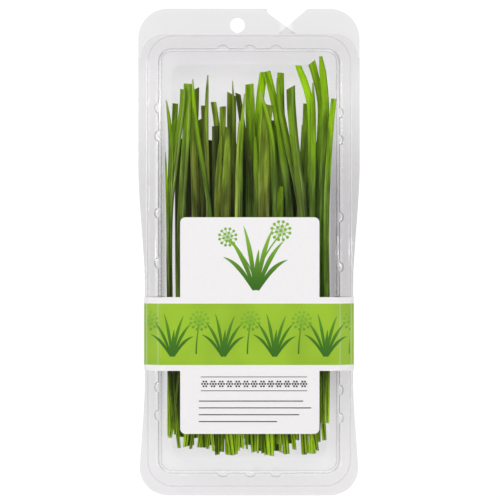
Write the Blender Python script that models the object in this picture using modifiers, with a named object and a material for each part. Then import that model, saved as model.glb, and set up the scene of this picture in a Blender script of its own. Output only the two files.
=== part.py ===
"""Garlic chives in a clear lidded tray, sealed with a cross-shaped label.

The script's sizes are in millimetres, and the meshes are made in metres, +Z up. The pack lies on
its back with the label facing up: +Y is the end with the hanging tab, where the leaf tips lie, and
the cut bases lie at -Y. The origin is on the surface, under the middle of the pack.
"""

import math
import random

import bmesh
import bpy

MM = 0.001
COLLECTION_NAME = "garlic_chive_bunch"
GAP = 0.3

# The clear pack
PACK_WIDTH = 111.0
PACK_LENGTH = 244.0
PACK_CORNER = 15.0
SHEET = 0.5
TRAY_DEPTH = 16.0
RIM_HALF_WIDTH = 51.2
RIM_CENTRE_Y = -4.5
RIM_HALF_LENGTH = 113.2
RIM_CORNER = 13.5
RIM_HEIGHT = 2.2
RIM_DRAFT = 0.7
PANEL_HALF_WIDTH = 46.0
PANEL_HALF_LENGTH = 106.8
PANEL_CORNER = 7.5
PANEL_RISE = 4.6
PANEL_DRAFT = 0.5
PANEL_EDGE = 1.6
FLOOR_HALF_WIDTH = 41.0
FLOOR_HALF_LENGTH = 101.5
FLOOR_CORNER = 8.0
FLOOR_ROUND = 1.2
BROW = 1.0
WAIST = 3.4
WAIST_Y = -41.0
WAIST_FLAT = 20.0
WAIST_REACH = 66.0
LUG_RADIUS = 2.7
LUG_REACH = 1.9
LUG_HEIGHT = 2.6
LUG_TOP = 0.9
LUGS_LEFT = (-81.5, -67.5, -5.5, 19.5, 58.0, 72.0)
LUGS_RIGHT = (-83.0, -69.0, -7.5, 17.5, 56.0, 69.5)
LUGS_END = (-13.0, 0.5, 13.5)
LUG_TURNS = (-1.0, -0.6, 0.0, 0.6, 1.0)
PLAIN_SIDE_YS = (-95.0, -76.0, -61.0, -41.0, -21.0, 5.0, 40.0, 85.0)
PLAIN_END_XS = (-30.0, 30.0)
CORNER_STEPS = 6

# The tabs of the two flanges, and the hanging hole
HOLE_RADIUS = 3.7
HOLE_X = -5.8
HOLE_Y = 113.6
TAB_FOOT_Y = 109.3
TAB_FOOT_X = 43.0
TAB_CORNER = 11.5
LID_TAB_END = ((8.5, 123.5), (9.5, 119.7), (23.5, TAB_FOOT_Y))
TRAY_TAB_END = ((31.0, 123.5), (27.5, 120.4), (14.5, TAB_FOOT_Y))

# The label: a card with two arms that fold round the flanges
CARD_HALF_WIDTH = 34.7
CARD_TOP_Y = 17.3
CARD_LOW_Y = -90.6
CARD_CORNER = 2.7
CARD_X = 0.4
BAND_TOP_Y = -22.5
BAND_LOW_Y = -59.2
LABEL_THICKNESS = 0.4
ARM_END_Z = 5.0

# The leaves
LEAF_EDGE = 0.6
LEAF_KEEL = 0.3
LEAF_GUTTER = 0.15
SIDE_GAP = 0.35
MOST_SLOPE = 0.075
STATIONS = (-88, -62, -36, -12, 6, 20, 34, 46, 57, 67, 76, 83, 89)
END_MARGIN = 4.0
POINT_LENGTH = 26.0
POINT_WIDTH = 0.3
ROUND_LENGTH = 7.0
ROUND_WIDTH = 0.45
BASE_LENGTH = 55.0
BASE_WIDTH = 0.74
# The bases flare apart: this share of a blade's side step comes in this lowest share of its height.
FLARE_HEIGHT = 0.38
FLARE_SHARE = 0.78
HIDDEN_LEAVES = 19
SEED = 29

FLANGE_Z = TRAY_DEPTH
LID_Z = FLANGE_Z + 2 * SHEET + GAP
WALL_RUN = (PANEL_HALF_WIDTH - FLOOR_HALF_WIDTH) / (FLANGE_Z - BROW - FLOOR_ROUND)
PANEL_Z = LID_Z + RIM_HEIGHT + PANEL_RISE

# What lies in front, from the back of the pile to its top: the base x and y, x at each of
# LEAF_HEIGHTS, the tip x and y, the width, and how the tip ends.
LEAF_HEIGHTS = (18.0, 58.0, 76.0)
FRONT_LEAVES = (
    (-35.4, -99.4, -40.2, -38.1, -37.4, -37.4, 75.3, 2.9, "cut"),
    (-32.2, -98.6, -27.0, -27.8, -27.3, -27.2, 82.4, 4.0, "slant"),
    (-29.5, -99.5, -23.0, -22.5, -23.0, -23.0, 74.0, 2.7, "cut"),
    (-21.0, -99.6, -14.5, -15.8, -18.0, -18.0, 75.9, 2.9, "cut"),
    (-16.0, -102.5, -16.4, -16.7, -16.7, -16.7, 63.6, 4.0, "cut"),
    (-11.0, -102.5, -13.0, -13.4, -13.2, -13.2, 73.4, 3.2, "cut"),
    (-4.0, -99.0, -8.2, -8.8, -8.8, -8.8, 80.0, 4.6, "slant"),
    (2.5, -101.2, 0.5, 0.6, 0.2, 0.2, 85.0, 4.2, "cut"),
    (9.0, -102.5, 3.6, 4.6, 5.5, 7.4, 91.0, 4.0, "cut"),
    (23.0, -100.0, 17.5, 16.8, 16.2, 16.0, 90.7, 3.4, "cut"),
    (28.0, -102.5, 26.5, 29.0, 29.7, 29.7, 75.0, 4.6, "cut"),
    (38.2, -95.4, 35.0, 36.0, 36.3, 31.6, 95.8, 3.6, "slant"),
    (-18.0, -100.5, -20.5, -21.5, -21.3, -20.8, 89.4, 2.2, "point"),
    (4.5, -101.5, 3.0, 2.6, 2.3, 2.2, 83.0, 1.7, "point"),
    (7.0, -101.5, 4.2, -2.3, -5.0, -5.6, 80.0, 2.8, "slant"),
    (18.0, -101.5, 20.5, 15.8, 12.7, 8.9, 91.2, 3.8, "cut"),
    (33.0, -102.0, 31.2, 31.5, 30.7, 24.9, 94.3, 3.6, "slant"),
    (-40.0, -93.8, -34.2, -31.8, -31.0, -31.0, 85.0, 4.0, "cut"),
    (-1.0, -99.6, -6.5, -7.4, -7.9, -8.3, 86.4, 1.7, "point"),
    (29.5, -101.5, 26.4, 18.8, 15.4, 14.5, 87.8, 3.4, "point"),
    (34.0, -100.0, 27.2, 22.6, 21.2, 21.0, 82.9, 4.4, "slant"),
    (-37.0, -92.0, -39.9, -35.6, -33.4, -33.2, 82.0, 3.0, "cut"),
    (-40.6, -92.4, -40.2, -39.6, -41.7, -41.7, 76.4, 2.4, "point"),
    (37.5, -86.8, 36.6, 38.4, 38.4, 36.0, 98.3, 3.6, "round"),
    (-9.0, -102.5, -15.5, -14.0, -14.0, -14.0, 58.5, 4.0, "point"),
    (-7.0, -102.0, -11.8, -10.5, -10.5, -10.5, 62.5, 4.6, "point"),
    (3.6, -100.4, 4.4, 3.2, 3.2, 3.2, 58.0, 3.6, "point"),
    (11.0, -102.5, 7.4, 8.1, 9.3, 9.3, 74.2, 5.6, "cut"),
    (19.0, -102.0, 14.8, 16.4, 16.4, 16.4, 33.0, 5.0, "round"),
    (39.6, -86.3, 39.0, 40.8, 42.6, 42.6, 77.0, 2.9, "cut"),
    (-39.4, -90.0, -41.0, -42.1, -42.1, -42.1, 50.3, 1.5, "point"),
    (-5.6, -100.0, -5.6, -4.9, -4.8, -4.8, 66.0, 3.2, "point"),
    (16.0, -101.0, 13.0, 11.4, 7.2, 5.8, 80.2, 2.4, "point"),
    (-25.5, -98.5, -19.8, -25.8, -27.9, -28.4, 87.2, 2.4, "point"),
    (-3.0, -98.6, -4.5, -3.8, -2.6, -2.2, 79.6, 2.2, "point"),
    (31.0, -101.5, 31.8, 32.6, 32.5, 32.2, 85.4, 2.6, "point"),
)
# Low leaves that close gaps: the base x and y, the middle x, the tip x and y, and the width.
LOW_LEAVES = (
    (14.0, -101.0, 20.5, 23.8, 45.0, 5.0),
    (5.0, -101.0, -1.0, -2.8, 62.0, 4.6),
)


def clear_scene():
    for old in list(bpy.data.objects):
        bpy.data.objects.remove(old)


def new_collection(name):
    collection = bpy.data.collections.new(name)
    bpy.context.scene.collection.children.link(collection)
    return collection


def plain_material(name, colour, roughness, alpha=1.0):
    material = bpy.data.materials.new(name)
    material.use_nodes = True
    shader = material.node_tree.nodes["Principled BSDF"]
    shader.inputs["Base Color"].default_value = (*colour, 1.0)
    shader.inputs["Roughness"].default_value = roughness
    shader.inputs["Metallic"].default_value = 0.0
    shader.inputs["Alpha"].default_value = alpha
    return material


def add_object(name, work, collection, material=None):
    """Turns a bmesh in millimetres into an object in metres."""
    bmesh.ops.scale(work, vec=(MM, MM, MM), verts=work.verts)
    mesh = bpy.data.meshes.new(name)
    work.to_mesh(mesh)
    work.free()
    if material:
        mesh.materials.append(material)
    made = bpy.data.objects.new(name, mesh)
    collection.objects.link(made)
    return made


def solidify(obj, thickness, offset):
    modifier = obj.modifiers.new("sheet", "SOLIDIFY")
    modifier.thickness = thickness * MM
    modifier.offset = offset
    modifier.use_even_offset = True
    return modifier


def cut(obj, cutter):
    modifier = obj.modifiers.new(cutter.name, "BOOLEAN")
    modifier.operation = "DIFFERENCE"
    modifier.object = cutter


def as_cutter(obj):
    obj.hide_render = True
    obj.display_type = "WIRE"
    return obj


def waist(y):
    """How far the tight label's arms draw the flange in, at this y."""
    past = max(0.0, abs(y - WAIST_Y) - WAIST_FLAT)
    share = max(0.0, 1.0 - past / WAIST_REACH)
    return WAIST * share * share * (3.0 - 2.0 * share)


def side_places(lugs, plain):
    """Places along a side, in rising order, with how far the half-round lugs stand out there, 0 to 1."""
    places = [(place, 0.0) for place in plain]
    for centre in lugs:
        for turn in LUG_TURNS:
            places.append((centre + turn * LUG_RADIUS, math.sqrt(1.0 - turn * turn)))
    return sorted(places)


def ring(half_width, half_length, corner, z, centre_y=RIM_CENTRE_Y, lugs=None, drawn_in=0.0):
    """A rounded rectangle seen from above, anticlockwise from its right side.

    lugs is None for a ring with no places for them, or says how far they stand out, 0 to 1.
    """
    right, left, ends = (LUGS_RIGHT, LUGS_LEFT, LUGS_END) if lugs is not None else ((), (), ())
    sides = (
        side_places(right, PLAIN_SIDE_YS),
        side_places(ends, PLAIN_END_XS)[::-1],
        side_places(left, PLAIN_SIDE_YS)[::-1],
        side_places(ends, PLAIN_END_XS),
    )
    points = []
    for side, places in enumerate(sides):
        for place, out in places:
            stand = out * (lugs or 0.0) * LUG_REACH
            across = half_width + stand - drawn_in * waist(place)
            along = half_length + stand
            x = (across, place, -across, place)[side]
            y = (place, centre_y + along, place, centre_y - along)[side]
            points.append((x, y, z))
        middle_x = (half_width - corner) * (1, -1, -1, 1)[side]
        middle_y = centre_y + (half_length - corner) * (1, 1, -1, -1)[side]
        for step in range(CORNER_STEPS + 1):
            angle = (side + step / CORNER_STEPS) * math.pi / 2
            x = middle_x + corner * math.cos(angle)
            y = middle_y + corner * math.sin(angle)
            points.append((x - math.copysign(drawn_in * waist(y), x), y, z))
    return points


def loft(rings, close_first, close_last):
    """Joins rings of as many points each with faces, and closes the ends that are asked for."""
    work = bmesh.new()
    rows = [[work.verts.new(point) for point in points] for points in rings]
    count = len(rows[0])
    for low, high in zip(rows, rows[1:]):
        for i in range(count):
            j = (i + 1) % count
            work.faces.new((low[i], low[j], high[j], high[i]))
    if close_first:
        work.faces.new(list(reversed(rows[0])))
    if close_last:
        work.faces.new(rows[-1])
    return work


def shrunk_ring(half_width, half_length, corner, inset, z, lugs=None):
    """The ring that lies inset millimetres inside the named one."""
    return ring(half_width - inset, half_length - inset, corner - inset, z, lugs=lugs)


def outer_ring(z, lugs):
    return ring(PACK_WIDTH / 2, PACK_LENGTH / 2, PACK_CORNER, z, centre_y=0.0, lugs=lugs, drawn_in=1.0)


def tab_cutter(name, tab_end, side, z, collection):
    """A prism that takes away the end flange beyond one tab. side is +1 to cut on the right."""
    past = 12.0
    outline = list(tab_end)
    for step in range(CORNER_STEPS + 1):
        angle = math.pi / 2 * (1.0 - step / CORNER_STEPS)
        x = TAB_FOOT_X + TAB_CORNER * math.cos(angle)
        y = TAB_FOOT_Y - TAB_CORNER + TAB_CORNER * math.sin(angle)
        outline.append((side * x, y))
    outline.append((side * (PACK_WIDTH / 2 + past), TAB_FOOT_Y - TAB_CORNER))
    outline.append((side * (PACK_WIDTH / 2 + past), PACK_LENGTH / 2 + past))
    outline.append((tab_end[0][0], PACK_LENGTH / 2 + past))
    if side > 0:
        outline.reverse()
    work = loft([[(x, y, z + rise) for x, y in outline] for rise in (-1.5, 1.5)], True, True)
    bmesh.ops.recalc_face_normals(work, faces=work.faces)
    return as_cutter(add_object(name, work, collection))


def make_lid(collection, cutters, material):
    rim_top = LID_Z + RIM_HEIGHT
    shoulder = PANEL_Z - PANEL_EDGE + PANEL_DRAFT
    lug_inset = PANEL_DRAFT * (2.0 * LUG_HEIGHT / (shoulder - rim_top) - 1.0)
    rings = [
        outer_ring(LID_Z, 0.0),
        shrunk_ring(RIM_HALF_WIDTH, RIM_HALF_LENGTH, RIM_CORNER, 0.0, LID_Z, lugs=0.0),
        shrunk_ring(RIM_HALF_WIDTH, RIM_HALF_LENGTH, RIM_CORNER, RIM_DRAFT, rim_top, lugs=0.0),
        shrunk_ring(PANEL_HALF_WIDTH, PANEL_HALF_LENGTH, PANEL_CORNER, -PANEL_DRAFT, rim_top, lugs=1.0),
        shrunk_ring(
            PANEL_HALF_WIDTH, PANEL_HALF_LENGTH, PANEL_CORNER, lug_inset, rim_top + LUG_HEIGHT, lugs=LUG_TOP
        ),
        shrunk_ring(PANEL_HALF_WIDTH, PANEL_HALF_LENGTH, PANEL_CORNER, PANEL_DRAFT, shoulder, lugs=0.0),
        shrunk_ring(PANEL_HALF_WIDTH, PANEL_HALF_LENGTH, PANEL_CORNER, PANEL_EDGE, PANEL_Z, lugs=0.0),
    ]
    lid = add_object("lid", loft(rings, False, True), collection, material)
    solidify(lid, SHEET, -1.0)
    cut(lid, tab_cutter("lid_tab_cut", LID_TAB_END, 1, LID_Z, cutters))
    bpy.ops.mesh.primitive_cylinder_add(
        vertices=24, radius=HOLE_RADIUS * MM, depth=3.0 * MM, location=(HOLE_X * MM, HOLE_Y * MM, LID_Z * MM)
    )
    hole = bpy.context.object
    hole.name = "hanging_hole_cut"
    for holder in list(hole.users_collection):
        holder.objects.unlink(hole)
    cutters.objects.link(hole)
    cut(lid, as_cutter(hole))
    return lid


def make_tray(collection, cutters, material):
    rings = [
        shrunk_ring(FLOOR_HALF_WIDTH, FLOOR_HALF_LENGTH, FLOOR_CORNER, FLOOR_ROUND, 0.0),
        shrunk_ring(FLOOR_HALF_WIDTH, FLOOR_HALF_LENGTH, FLOOR_CORNER, 0.0, FLOOR_ROUND),
        shrunk_ring(PANEL_HALF_WIDTH, PANEL_HALF_LENGTH, PANEL_CORNER, 0.0, FLANGE_Z - BROW),
        shrunk_ring(PANEL_HALF_WIDTH, PANEL_HALF_LENGTH, PANEL_CORNER, -BROW, FLANGE_Z),
        outer_ring(FLANGE_Z, None),
    ]
    tray = add_object("tray", loft(rings, True, False), collection, material)
    solidify(tray, SHEET, -1.0)
    cut(tray, tab_cutter("tray_tab_cut", TRAY_TAB_END, -1, FLANGE_Z, cutters))
    return tray


def label_section():
    """The label's line across the pack, at its under side, from the left arm's end to the right."""
    edge = PACK_WIDTH / 2 - WAIST + GAP
    stuck_to = FLOOR_HALF_WIDTH + (ARM_END_Z - FLOOR_ROUND) * WALL_RUN + GAP + LABEL_THICKNESS
    right = [
        (CARD_HALF_WIDTH, PANEL_Z + GAP),
        (PANEL_HALF_WIDTH - 1.3, PANEL_Z + GAP),
        (RIM_HALF_WIDTH - 0.1, LID_Z + RIM_HEIGHT + 0.7),
        (edge, LID_Z + 0.9),
        (edge, FLANGE_Z - SHEET),
        (stuck_to, ARM_END_Z),
    ]
    return [(-x, z) for x, z in reversed(right)] + right


def make_label(collection, material):
    work = bmesh.new()
    section = label_section()
    low = [work.verts.new((x, BAND_LOW_Y, z)) for x, z in section]
    high = [work.verts.new((x, BAND_TOP_Y, z)) for x, z in section]
    for i in range(len(section) - 1):
        work.faces.new((low[i], low[i + 1], high[i + 1], high[i]))
    flat = len(section) // 2 - 1
    z = section[flat][1]
    corners = []
    for edge, y in ((low, CARD_LOW_Y), (high, CARD_TOP_Y)):
        left = work.verts.new((CARD_X - CARD_HALF_WIDTH, y, z))
        right = work.verts.new((CARD_X + CARD_HALF_WIDTH, y, z))
        face = [edge[flat], edge[flat + 1], right, left]
        work.faces.new(face if y > BAND_TOP_Y else list(reversed(face)))
        corners += [left, right]
    bmesh.ops.bevel(work, geom=corners, offset=CARD_CORNER, segments=4, profile=0.5, affect="VERTICES")
    bmesh.ops.recalc_face_normals(work, faces=work.faces)
    if sum(face.normal.z for face in work.faces) < 0:
        bmesh.ops.reverse_faces(work, faces=work.faces)
    label = add_object("label", work, collection, material)
    solidify(label, LABEL_THICKNESS, 1.0)
    return label


def curve_through(knots, y):
    """x at y on a smooth line through the knots (y, x), which run upwards in y."""
    i = 0
    while i < len(knots) - 2 and y > knots[i + 1][0]:
        i += 1
    (y0, x0), (y1, x1) = knots[i], knots[i + 1]
    span = y1 - y0
    secant = (x1 - x0) / span
    slope0 = slope1 = None
    if i > 0:
        slope0 = (x1 - knots[i - 1][1]) / (y1 - knots[i - 1][0])
    if i < len(knots) - 2:
        slope1 = (knots[i + 2][1] - x0) / (knots[i + 2][0] - y0)
    if slope0 is None:
        slope0 = (3.0 * secant - slope1) / 2.0
    if slope1 is None:
        slope1 = (3.0 * secant - slope0) / 2.0
    t = (y - y0) / span
    rise = t * t * (3.0 - 2.0 * t)
    pull = t * (1.0 - t) * (1.0 - t) * slope0 - t * t * (1.0 - t) * slope1
    return x0 + (x1 - x0) * rise + pull * span


def beyond_floor(x, y):
    """How far a point seen from above lies outside the tray's floor, negative inside it."""
    over_x = abs(x) - FLOOR_HALF_WIDTH + FLOOR_CORNER
    over_y = abs(y - RIM_CENTRE_Y) - FLOOR_HALF_LENGTH + FLOOR_CORNER
    return math.hypot(max(over_x, 0.0), max(over_y, 0.0)) + min(max(over_x, over_y), 0.0) - FLOOR_CORNER


class Leaf:
    """One blade: its knots along y, with x, height, width and roll at each."""

    def __init__(self, knots, width, tip, roll, twist, base_cut, tip_cut, base_width=BASE_WIDTH):
        base_y = knots[0][0]
        tip_y = knots[-1][0]
        inside = [y for y in STATIONS if base_y + END_MARGIN < y < tip_y - END_MARGIN]
        self.ys = [base_y, *inside, tip_y]
        self.xs = [curve_through(knots, y) for y in self.ys]
        self.width = width
        self.base_width = base_width
        self.tip = tip
        self.rolls = [roll + twist * (y - base_y) / (tip_y - base_y) for y in self.ys]
        self.base_cut = base_cut
        self.tip_cut = tip_cut
        self.zs = [self.rest_height(i) for i in range(len(self.ys))]

    def half_width(self, i):
        left = self.ys[-1] - self.ys[i]
        risen = self.ys[i] - self.ys[0]
        if risen < BASE_LENGTH:
            return self.width / 2 * (self.base_width + (1.0 - self.base_width) * risen / BASE_LENGTH)
        if self.tip == "point" and left < POINT_LENGTH:
            return self.width / 2 * (POINT_WIDTH + (1.0 - POINT_WIDTH) * math.sqrt(left / POINT_LENGTH))
        if self.tip == "round" and left < ROUND_LENGTH:
            return self.width / 2 * (ROUND_WIDTH + (1.0 - ROUND_WIDTH) * math.sqrt(left / ROUND_LENGTH))
        return self.width / 2

    def above(self, i):
        return LEAF_EDGE / 2 + self.width / 2 * abs(math.sin(self.rolls[i]))

    def below(self, i):
        return LEAF_EDGE / 2 + LEAF_KEEL + self.width / 2 * abs(math.sin(self.rolls[i]))

    def rest_height(self, i):
        """The lowest that the blade can lie on the tray's floor and sloping side here."""
        past = beyond_floor(self.xs[i], self.ys[i]) + self.width / 2 + SHEET + 2 * GAP
        slope_z = FLOOR_ROUND + past / WALL_RUN if past > 0 else 0.0
        return max(SHEET + GAP, slope_z) + self.below(i)

    def at(self, values, y):
        for i in range(len(self.ys) - 1):
            if y <= self.ys[i + 1]:
                break
        share = (y - self.ys[i]) / (self.ys[i + 1] - self.ys[i])
        return values[i] + (values[i + 1] - values[i]) * share

    def crosses(self, other, low, high):
        """Whether the two blades lie over each other between low and high."""
        clear = self.width / 2 + other.width / 2 + SIDE_GAP
        side = None
        for step in range(7):
            y = low + (high - low) * step / 6
            apart = self.at(self.xs, y) - other.at(other.xs, y)
            if abs(apart) < clear or (side is not None and apart * side < 0):
                return True
            side = apart
        return False

    def lie_on(self, others):
        """Lifts the blade's knots until it clears every blade laid down before it."""
        for i in range(len(self.ys) - 1):
            for other in others:
                low = max(self.ys[i], other.ys[0]) - 1.0
                high = min(self.ys[i + 1], other.ys[-1]) + 1.0
                low = max(low, self.ys[0], other.ys[0])
                high = min(high, self.ys[-1], other.ys[-1])
                if high - low < 0.0 or not self.crosses(other, low, high):
                    continue
                tops = [other.at(other.zs, y) for y in (low, high)]
                tops += [z for y, z in zip(other.ys, other.zs) if low < y < high]
                top = max(tops) + max(other.above(0), other.above(-1)) + GAP
                for k in (i, i + 1):
                    self.zs[k] = max(self.zs[k], top + self.below(k))
        self.stiffen()

    def stiffen(self):
        """A blade is stiff, so it dips only gently beside what lifts it."""
        count = len(self.ys)
        for i in range(count):
            for k in range(count):
                self.zs[i] = max(self.zs[i], self.zs[k] - MOST_SLOPE * abs(self.ys[i] - self.ys[k]))
        for _ in range(3):
            for i in range(1, count - 1):
                span = self.ys[i + 1] - self.ys[i - 1]
                share = (self.ys[i] - self.ys[i - 1]) / span
                between = self.zs[i - 1] + (self.zs[i + 1] - self.zs[i - 1]) * share
                self.zs[i] = max(self.zs[i], between)

    def section(self, i):
        """Six points round the blade at knot i: three above, with a gutter, and three below, with a keel."""
        half = self.half_width(i)
        edge = LEAF_EDGE / 2
        slant = self.base_cut if i == 0 else self.tip_cut if i == len(self.ys) - 1 else 0.0
        outline = (
            (-half, edge),
            (-half, -edge),
            (0.0, -edge - LEAF_KEEL),
            (half, -edge),
            (half, edge),
            (0.0, edge - LEAF_GUTTER),
        )
        cos, sin = math.cos(self.rolls[i]), math.sin(self.rolls[i])
        return [
            (self.xs[i] + u * cos - v * sin, self.ys[i] + slant * u, self.zs[i] + u * sin + v * cos)
            for u, v in outline
        ]


def tip_cut_slope(draw, tip):
    """How far the cut across the tip slants, as a slope."""
    return draw.choice((-0.55, 0.55)) if tip == "slant" else draw.uniform(-0.15, 0.15)


def front_leaves(draw):
    card_y, high_y, shoulder_y = LEAF_HEIGHTS
    for base_x, base_y, card_x, high_x, shoulder_x, end_x, end_y, width, tip in FRONT_LEAVES:
        low_y = base_y + FLARE_HEIGHT * (card_y - base_y)
        low_x = base_x + FLARE_SHARE * (card_x - base_x) + draw.uniform(-0.5, 0.5)
        knots = [(base_y, base_x), (low_y, low_x), (card_y, card_x)]
        if end_y > high_y + END_MARGIN:
            knots.append((high_y, high_x))
        if end_y > shoulder_y + END_MARGIN:
            knots.append((shoulder_y, shoulder_x))
        knots.append((end_y, end_x))
        roll = math.radians(draw.uniform(-9, 9))
        twist = math.radians(draw.uniform(-5, 5))
        yield Leaf(knots, width, tip, roll, twist, draw.uniform(-0.4, 0.4), tip_cut_slope(draw, tip))


def hidden_leaves(draw):
    """The blades deeper in the pile: bases spread evenly, tips a little lower than those in front."""
    reach = 36.5
    for base_x, base_y, middle_x, end_x, end_y, width in LOW_LEAVES:
        knots = [(base_y, base_x), ((base_y + end_y) / 2, middle_x), (end_y, end_x)]
        yield Leaf(knots, width, "cut", 0.0, 0.0, 0.0, tip_cut_slope(draw, "cut"), 1.0)
    for i in range(HIDDEN_LEAVES):
        spread = ((i * 7) % HIDDEN_LEAVES + 0.5) / HIDDEN_LEAVES * 2.0 - 1.0
        base_x = reach * spread + draw.uniform(-0.8, 0.8)
        lean = draw.uniform(-3.4, 3.4)
        end_x = max(-reach, min(reach, base_x + lean))
        if 21.0 < end_x < 28.0:
            end_x = 20.5 if end_x < 24.5 else 28.8
        base_y = draw.uniform(-102.5, -94.0) + 5.0 * abs(spread) ** 3
        end_y = draw.uniform(52.0, 68.0)
        middle = ((base_y + end_y) / 2, (base_x + end_x) / 2 + draw.uniform(-1.6, 1.6))
        tip = draw.choice(("cut", "cut", "slant", "point"))
        roll = math.radians(draw.uniform(-8, 8))
        width = draw.uniform(4.0, 5.4)
        knots = [(base_y, base_x), middle, (end_y, end_x)]
        yield Leaf(knots, width, tip, roll, 0.0, draw.uniform(-0.2, 0.2), tip_cut_slope(draw, tip), 1.0)


def pile_of_leaves():
    """All blades, each lying on those before it."""
    draw = random.Random(SEED)
    laid = []
    for leaf in [*hidden_leaves(draw), *front_leaves(draw)]:
        leaf.lie_on(laid)
        laid.append(leaf)
    return laid


def make_leaves(collection, materials):
    pile = pile_of_leaves()
    for number, leaf in enumerate(pile, 1):
        work = loft([leaf.section(i) for i in range(len(leaf.ys))], True, True)
        bmesh.ops.triangulate(work, faces=work.faces)
        bmesh.ops.recalc_face_normals(work, faces=work.faces)
        add_object(f"leaf_{number:02d}", work, collection, materials[number % len(materials)])
    return pile


def build():
    clear_scene()
    collection = new_collection(COLLECTION_NAME)
    cutters = new_collection("cutters")
    clear_plastic = plain_material("clear_plastic", (0.9, 0.91, 0.92), 0.12, 0.25)
    paper = plain_material("label_paper", (0.86, 0.87, 0.86), 0.55)
    greens = [
        plain_material("leaf_green", (0.09, 0.18, 0.02), 0.45),
        plain_material("leaf_bright", (0.17, 0.34, 0.02), 0.45),
        plain_material("leaf_olive", (0.15, 0.2, 0.02), 0.45),
    ]
    make_tray(collection, cutters, clear_plastic)
    make_lid(collection, cutters, clear_plastic)
    make_label(collection, paper)
    return make_leaves(collection, greens)


if __name__ == "__main__":
    build()
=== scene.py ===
"""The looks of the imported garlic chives: fine leaves, clear sheet, printed label, floor, light, camera.

Sizes are in millimetres, as on the real pack, and become metres where a mesh is made. +Y is the end
with the hanging tab, +X the label's right, +Z up through the lid.
"""

import math
import random

import bmesh
import bpy
import numpy as np
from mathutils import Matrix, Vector


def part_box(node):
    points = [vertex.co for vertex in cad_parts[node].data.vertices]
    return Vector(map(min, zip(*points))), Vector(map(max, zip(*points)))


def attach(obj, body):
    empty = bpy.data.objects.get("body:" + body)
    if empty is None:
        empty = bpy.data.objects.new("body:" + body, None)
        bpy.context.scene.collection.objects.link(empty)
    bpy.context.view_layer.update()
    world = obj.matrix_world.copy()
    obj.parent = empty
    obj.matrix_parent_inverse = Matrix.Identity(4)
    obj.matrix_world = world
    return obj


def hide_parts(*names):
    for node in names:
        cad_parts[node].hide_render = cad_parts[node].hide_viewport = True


MM = 0.001
BODY = "root"
SEED = 11

# The clear pack, as in the solids
PACK_WIDTH = 111.0
PACK_LENGTH = 244.0
PACK_CORNER = 15.0
RIM = (51.2, 113.2, 13.5)
PANEL = (46.0, 106.8, 7.5)
FLOOR = (41.0, 101.5, 8.0)
RIM_CENTRE_Y = -4.5
WAIST = 3.4
WAIST_Y = -41.0
WAIST_FLAT = 20.0
WAIST_REACH = 66.0
LUG_RADIUS = 2.7
LUG_REACH = 1.9
LUG_TOP_Z = 22.1
LUGS_LEFT = (-81.5, -67.5, -5.5, 19.5, 58.0, 72.0)
LUGS_RIGHT = (-83.0, -69.0, -7.5, 17.5, 56.0, 69.5)
LUGS_END = (-13.0, 0.5, 13.5)
FLANGE_Z = 16.0
LID_Z = 17.3
RIM_TOP_Z = 19.5
PANEL_Z = 24.1
SHEET = 0.4
HOLE = (-5.8, 113.6, 3.7)
TAB_FOOT_Y = 109.3
TAB_FOOT_X = 43.0
TAB_CORNER = 11.5
LID_TAB_END = ((8.5, 123.5), (9.5, 119.7), (23.5, TAB_FOOT_Y))
TRAY_TAB_END = ((31.0, 123.5), (27.5, 120.4), (14.5, TAB_FOOT_Y))
CORNER_STEPS = 14
LUG_STEPS = 10
FILLET_STEPS = 5
BEND_SHARE = 0.48
CUT_PAST = 12.0
SIDE_REACH = 92.0
END_REACH = 31.0
PLAIN_STEPS = 12
HOLE_STEPS = 48
CUT_HALF = 1.5
CUT_EDGE = 0.13
CUT_EDGE_DEGREES = 55
SHARP_DEGREES = 50

# Each sheet's section: the outline that it follows, how far outside it, the height and how far the lugs
# stand out. Then the radii of its bends.
LID_SECTION = (
    (RIM, 1.6, LID_Z, 0.0), (RIM, 0.0, LID_Z, 0.0), (RIM, -0.7, RIM_TOP_Z, 0.0),
    (PANEL, -0.4, RIM_TOP_Z, 1.0), (PANEL, -0.85, LUG_TOP_Z, 0.9), (PANEL, -1.0, LUG_TOP_Z + 0.2, 0.0),
    (PANEL, -1.9, LUG_TOP_Z + 0.5, 0.0), (PANEL, -2.4, PANEL_Z, 0.0), (PANEL, -6.0, PANEL_Z, 0.0),
)
LID_BENDS = (0.5, 0.7, 0.4, 0.15, 0.1, 0.25, 0.4)
TRAY_SECTION = (
    (FLOOR, -6.0, 0.0, 0.0), (FLOOR, -0.6, 0.0, 0.0),
    (PANEL, 0.3, FLANGE_Z, 0.0), (PANEL, 3.0, FLANGE_Z, 0.0),
)
TRAY_BENDS = (1.6, 1.2)

# The clear sheet's finish. WALL_SHIFT moves its side tints, painted shade on the long sides towards the
# band, to the left, and its drawing marks lie close together across the pack and run long along it.
WALL_SHIFT = 0.7
NOTCH_X = 18.5
NOTCH_EASE = (1.5, 4.5)
BAND_Y = -5.0
BY_BAND = (30.0, 90.0, 1.0, 0.05)
SIDE_EASE = 2.5
RAISED_EASE = 1.2
BEND_EASE = 0.4
BENDS_INSIDE = (3.0, 1.0)
BENDS_AT_ENDS = 0.3
EDGE_POWER = 5.0
LEAN_POWER = 1.5
LEFT_TO_RIGHT = (-30.0, 30.0)
HEADWARD = (80.0, 104.0)
DRAWN_MARKS = (160.0, 9.0)
GLOSS_ON_EDGE = 0.3
GLOSS_FACE_ON = 0.014
GLOSS_ROUGHNESS = 0.05
SHEET_BUMP = (0.08, 0.14)

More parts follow.
